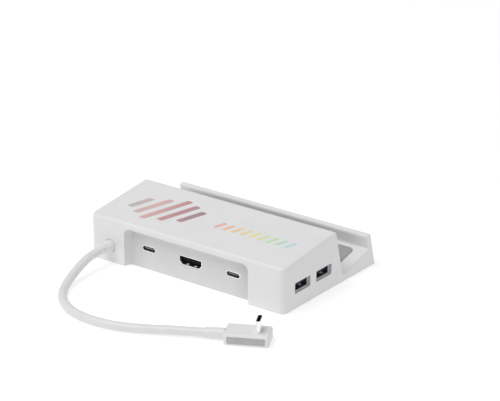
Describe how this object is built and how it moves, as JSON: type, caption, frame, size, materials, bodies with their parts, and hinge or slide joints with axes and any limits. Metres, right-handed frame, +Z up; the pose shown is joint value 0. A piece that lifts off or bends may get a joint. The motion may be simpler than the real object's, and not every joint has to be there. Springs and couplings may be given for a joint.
{
  "type": "game console dock",
  "caption": "White wedge-shaped dock for a handheld game console, with a rear cradle slot and lip, a front port recess, end sockets and a short fixed cable ending in an angled plug.",
  "frame": {"origin": "on the floor under the middle of the dock without its cable", "axes": "+X along the dock, to the right of someone facing the port side; +Y from the port side to the cradle; +Z up"},
  "size_m": [0.1424, 0.1503, 0.0304],
  "materials": {
    "white_plastic": "satin",
    "white_cable": "satin",
    "screw_steel": "zinc plated",
    "socket_steel": "nickel plated",
    "socket_black": "moulded",
    "socket_grey": "moulded",
    "socket_blue": "moulded",
    "contact_gold": "gold plated",
    "pad_silicone": "matte",
    "foot_rubber": "matte",
    "board_laminate": "solder resist",
    "chip_black": "moulded",
    "ferrite": "matte",
    "crystal_can": "plated",
    "capacitor_ceramic": "fired ceramic",
    "inlay_grey": "satin",
    "core_insulation": "plain"
  },
  "bodies": {
    "root": {"base_cover": "white_plastic", "base_screws": "screw_steel", "board_screws": "screw_steel", "cable_gland": "white_cable", "cable_tail": "white_cable", "cable_wires": "core_insulation", "capacitors": "capacitor_ceramic", "crystals": "crystal_can", "foot_front_left": "foot_rubber", "foot_front_right": "foot_rubber", "foot_rear_left": "foot_rubber", "foot_rear_right": "foot_rubber", "host_cable": "white_cable", "hub_chip": "chip_black", "main_board": "board_laminate", "main_housing": "white_plastic", "plug_body": "white_plastic", "plug_boot": "white_cable", "plug_inlays": "inlay_grey", "plug_insulator": "socket_black", "plug_tip": "socket_steel", "power_chip": "chip_black", "power_inductor": "ferrite", "rest_pad": "pad_silicone", "shelf_pad": "pad_silicone", "type_a_left_contacts": "contact_gold", "type_a_left_shell": "socket_steel", "type_a_left_tongue": "socket_blue", "type_a_right_front_contacts": "contact_gold", "type_a_right_front_shell": "socket_steel", "type_a_right_front_tongue": "socket_blue", "type_a_right_rear_contacts": "contact_gold", "type_a_right_rear_shell": "socket_steel", "type_a_right_rear_tongue": "socket_blue", "type_c_left_contacts": "contact_gold", "type_c_left_shell": "socket_steel", "type_c_left_tongue": "socket_grey", "type_c_right_contacts": "contact_gold", "type_c_right_shell": "socket_steel", "type_c_right_tongue": "socket_grey", "video_chip": "chip_black", "video_contacts": "contact_gold", "video_shell": "socket_steel", "video_tongue": "socket_black"}
  },
  "joints": []
}
